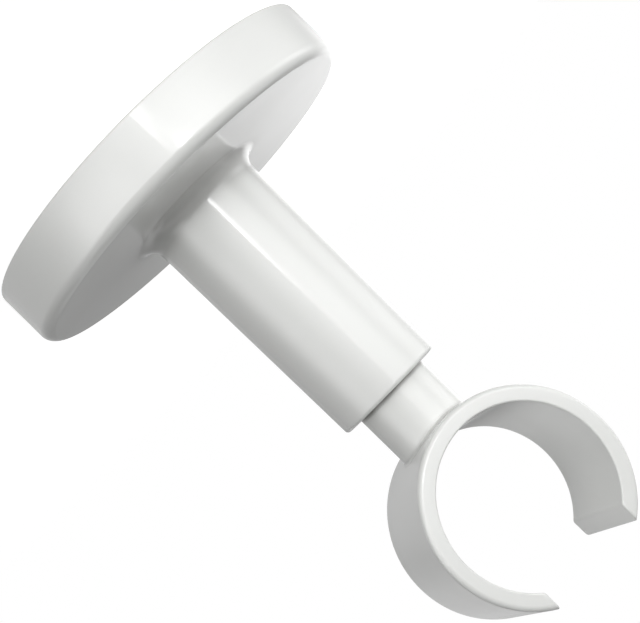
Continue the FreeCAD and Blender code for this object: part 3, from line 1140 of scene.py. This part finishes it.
@dataclass(frozen=True)
class Studio:
    """A light table, soft panels and a surround, for an arm that is lit all round and dim from above.

    Attributes:
        floor_size: Side of the floor.
        floor_white: Colour of its paper.
        floor_fill: Light that the paper passes, so that the camera sees it as white where it is lit.
        floor_fades: Distances from the arm between which the floor gives way to the white surround.
        low_surround: Strengths of the surround below the horizon, towards -X, +X, -Y and +Y.
        high_surround: The same above the horizon.
        above: Its strength straight up, added to the high one.
        horizon: Heights between which the low surround gives way to the high one, as sines.
        ring_lamp: Strength of a ring lamp high round the arm, which draws thin lines on roundings.
        ring_lamp_heights: Heights between which it shines, as sines.
        backdrop_mirrored: Share of the white backdrop that reflections show.
        backdrop: Azimuth and elevation of the backdrop's middle, in degrees.
        backdrop_reach: Angles from its middle between which the backdrop ends, in degrees.
        lights: The lights.
    """

    floor_size: float = 4.0
    floor_white: str = "#e9e9e8"
    floor_fill: float = 0.78
    floor_fades: tuple[float, float] = (100 * MM, 400 * MM)
    low_surround: tuple[float, float, float, float] = (0.46, 0.0, 2.2, 0.58)
    high_surround: tuple[float, float, float, float] = (1.1, 0.08, 0.0, 0.29)
    above: float = 0.15
    horizon: tuple[float, float] = (-0.2, 0.2)
    ring_lamp: float = 0.4
    ring_lamp_heights: tuple[float, float] = (0.68, 0.84)
    backdrop_mirrored: float = 0.32
    backdrop: tuple[float, float] = (-150.0, 9.0)
    backdrop_reach: tuple[float, float] = (8.0, 18.0)
    lights: tuple[SoftLight, ...] = (
        SoftLight("main_panel", -29, -4, 300 * MM, 380 * MM, 220 * MM, 1.46, (0.5, 0.06, 0.35, 0.35)),
        SoftLight("low_panel", -18.5, -16, 300 * MM, 300 * MM, 50 * MM, 0.8, (0.6, 0.05, 0.3, 0.3)),
        SoftLight("hot_patch", 3.4, -20.5, 300 * MM, 60 * MM, 50 * MM, 6.0, (0.9, 0.08, 0.1, 0.6)),
        SoftLight("hot_strip", -2.3, -10.6, 300 * MM, 60 * MM, 72 * MM, 9.0, (0.85, 0.1, 0.1, 0.7)),
        SoftLight("low_right_panel", 52, -16, 300 * MM, 300 * MM, 50 * MM, 1.7, (0.3, 0.3, 0.3, 0.3)),
        SoftLight("side_panel", -80, -4, 300 * MM, 360 * MM, 220 * MM, 1.0),
        SoftLight("back_panel", -140, 0, 300 * MM, 320 * MM, 220 * MM, 0.85, (0.4, 0.4, 0.16, 0.35)),
        SoftLight("right_panel", 70, -4, 300 * MM, 300 * MM, 220 * MM, 1.2),
        SoftLight("ring_card", 170, 20, 130 * MM, 140 * MM, 140 * MM, 0.4, aim_height=80 * MM),
    )

    def set_up(self) -> None:
        """Adds the floor, the surround and the lights."""
        self.make_floor()
        self.make_surround()
        for light in self.lights:
            light.set_up()

    def make_floor(self) -> None:
        """Adds the floor, a light table that the camera sees as white with a soft shadow.

        Light from below passes it, and a view from below looks through it.
        """
        clear_selection()
        bpy.ops.mesh.primitive_plane_add(size=self.floor_size)
        floor = bpy.context.object
        floor.name = "studio_floor"
        floor.visible_shadow = False
        floor.visible_glossy = False
        floor.visible_diffuse = False
        material, tree, place = new_material("studio_floor_paper")
        below = add_node(tree, "NewGeometry").outputs["Backfacing"]
        distance = add_node(tree, "VectorMath", {0: place}, operation="LENGTH").outputs["Value"]
        paper = add_node(tree, "BsdfDiffuse", {"Color": linear_colour(self.floor_white)})
        glow = add_node(tree, "Emission", {"Color": WHITE, "Strength": self.floor_fill})
        white = add_node(tree, "AddShader", {
            0: paper.outputs["BSDF"], 1: glow.outputs["Emission"],
        })
        clear = add_node(tree, "BsdfTransparent")
        gone = reckon(tree, "MAXIMUM", ramp(tree, distance, *self.floor_fades), below)
        surface = add_node(tree, "MixShader", {
            "Fac": gone, 1: white.outputs["Shader"], 2: clear.outputs["BSDF"],
        })
        add_node(tree, "OutputMaterial", {"Surface": surface.outputs["Shader"]})
        floor.data.materials.append(material)

    def make_surround(self) -> None:
        """Makes the world: white to the camera, with a soft light that depends on the direction.

        Reflections show the white backdrop behind the arm, and the soft light elsewhere.
        """
        world = bpy.data.worlds.new("studio_surround")
        world.use_nodes = True
        tree = world.node_tree
        tree.nodes.clear()
        bpy.context.scene.world = world
        rays = add_node(tree, "LightPath")
        way = add_node(tree, "TexCoord").outputs["Generated"]
        soft = add_node(tree, "Background", {
            "Color": WHITE, "Strength": self.soft_strength(tree, way),
        })
        white = add_node(tree, "Background", {"Color": WHITE, "Strength": 1})
        share = reckon(tree, "MULTIPLY", self.backdrop_share(tree, way), self.backdrop_mirrored)
        mirrored = reckon(tree, "MULTIPLY", rays.outputs["Is Glossy Ray"], share)
        seen = reckon(tree, "MAXIMUM", rays.outputs["Is Camera Ray"], rays.outputs["Is Transmission Ray"])
        mixed = add_node(tree, "MixShader", {
            "Fac": reckon(tree, "MAXIMUM", seen, mirrored),
            1: soft.outputs["Background"],
            2: white.outputs["Background"],
        })
        add_node(tree, "OutputWorld", {"Surface": mixed.outputs["Shader"]})

    def soft_strength(self, tree: NodeTree, way: Socket) -> Socket:
        """Blends the surround's strengths by the squares of the direction's parts.

        Args:
            tree: The world's node tree.
            way: The direction looked in.

        Returns:
            The strength.
        """
        along_x, along_y, height = add_node(tree, "SeparateXYZ", {"Vector": way}).outputs
        both_ways = (-1.0, 1.0)
        rise = ramp(tree, height, *self.horizon)
        total: Socket | float = 0.0
        for part, first in ((along_x, 0), (along_y, 2)):
            low = spread(tree, part, both_ways, self.low_surround[first:first + 2])
            high = spread(tree, part, both_ways, self.high_surround[first:first + 2])
            mixed = add_node(tree, "Mix", {"Factor": rise, 2: low, 3: high}, data_type="FLOAT")
            square = reckon(tree, "MULTIPLY", part, part)
            total = reckon(tree, "MULTIPLY_ADD", square, mixed.outputs[0], total)
        overhead = spread(tree, height, both_ways, (0.0, self.above))
        square = reckon(tree, "MULTIPLY", height, height)
        total = reckon(tree, "MULTIPLY_ADD", square, overhead, total)
        bottom, top = self.ring_lamp_heights
        middle = (bottom + top) / 2
        lamp = reckon(tree, "MULTIPLY", ramp(tree, height, bottom, middle), ramp(tree, height, top, middle))
        return reckon(tree, "MULTIPLY_ADD", lamp, self.ring_lamp, total)

    def backdrop_share(self, tree: NodeTree, way: Socket) -> Socket:
        """Tells how much of the backdrop lies in a direction.

        Args:
            tree: The world's node tree.
            way: The direction looked in.

        Returns:
            One on the backdrop, nought off it.
        """
        azimuth, elevation = (math.radians(angle) for angle in self.backdrop)
        near, far = (math.cos(math.radians(angle)) for angle in self.backdrop_reach)
        towards = add_node(tree, "VectorMath", {
            0: way, 1: direction(azimuth, elevation),
        }, operation="DOT_PRODUCT").outputs["Value"]
        return ramp(tree, towards, far, near)


def pole_mount() -> dict:
    """Finds the ring's bore among the record's mounts."""
    return next(mount for mount in frame["record"]["mounts"] if mount["name"] == "pole_ring")


def main() -> None:
    """Builds the bracket and its studio."""
    logging.basicConfig(level=logging.INFO)
    bpy.context.scene.view_settings.view_transform = "Standard"

    # Both coats carry painted shade: the rose's in its own hollows, the ring's in the crevices at the
    # barrel's mouth and where the stem meets the ring.
    rose_coat = PowderCoat("gloss_powder_coat_white_painted_hollow_shade", 4 * MM, own_corners=True).make()
    ring_coat = PowderCoat("gloss_powder_coat_white_painted_crevice_shade", 0.8 * MM, own_corners=False).make()
    zinc = ZincPlatedSheet().make()
    mount = pole_mount()
    rose = RoseWithBarrel()

    FixingPlate().build().hand_over("wall_fixing_plate", "zinc_plated_steel", Body.WALL_SIDE, zinc)
    rose.build().hand_over("rose_with_barrel", "white_powder_coat", Body.WALL_SIDE, rose_coat)
    ring = PoleRingWithStem(centre_height=mount["pos_m"][2], inner_radius=mount["dims"]["r_mm"] * MM)
    ring.build().hand_over("pole_ring_with_stem", "white_powder_coat", Body.POLE_SIDE, ring_coat)
    screws = (
        GrubScrew("rose_grub_screw", 24.7 * MM, 5.0 * MM, rose.rim_screw_height),
        GrubScrew("barrel_grub_screw", 4.75 * MM, 4.0 * MM, rose.lock_screw_height),
    )
    for screw in screws:
        node = screw.name
        steel = TurnedSteel().make(f"turned_steel_{node}", screw.height)
        screw.name = f"{node}_threaded"
        screw.build().hand_over(node, "screw_steel", Body.WALL_SIDE, steel)

    Studio().set_up()
    PhotoCamera().set_up()


if __name__ == "__main__":
    main()
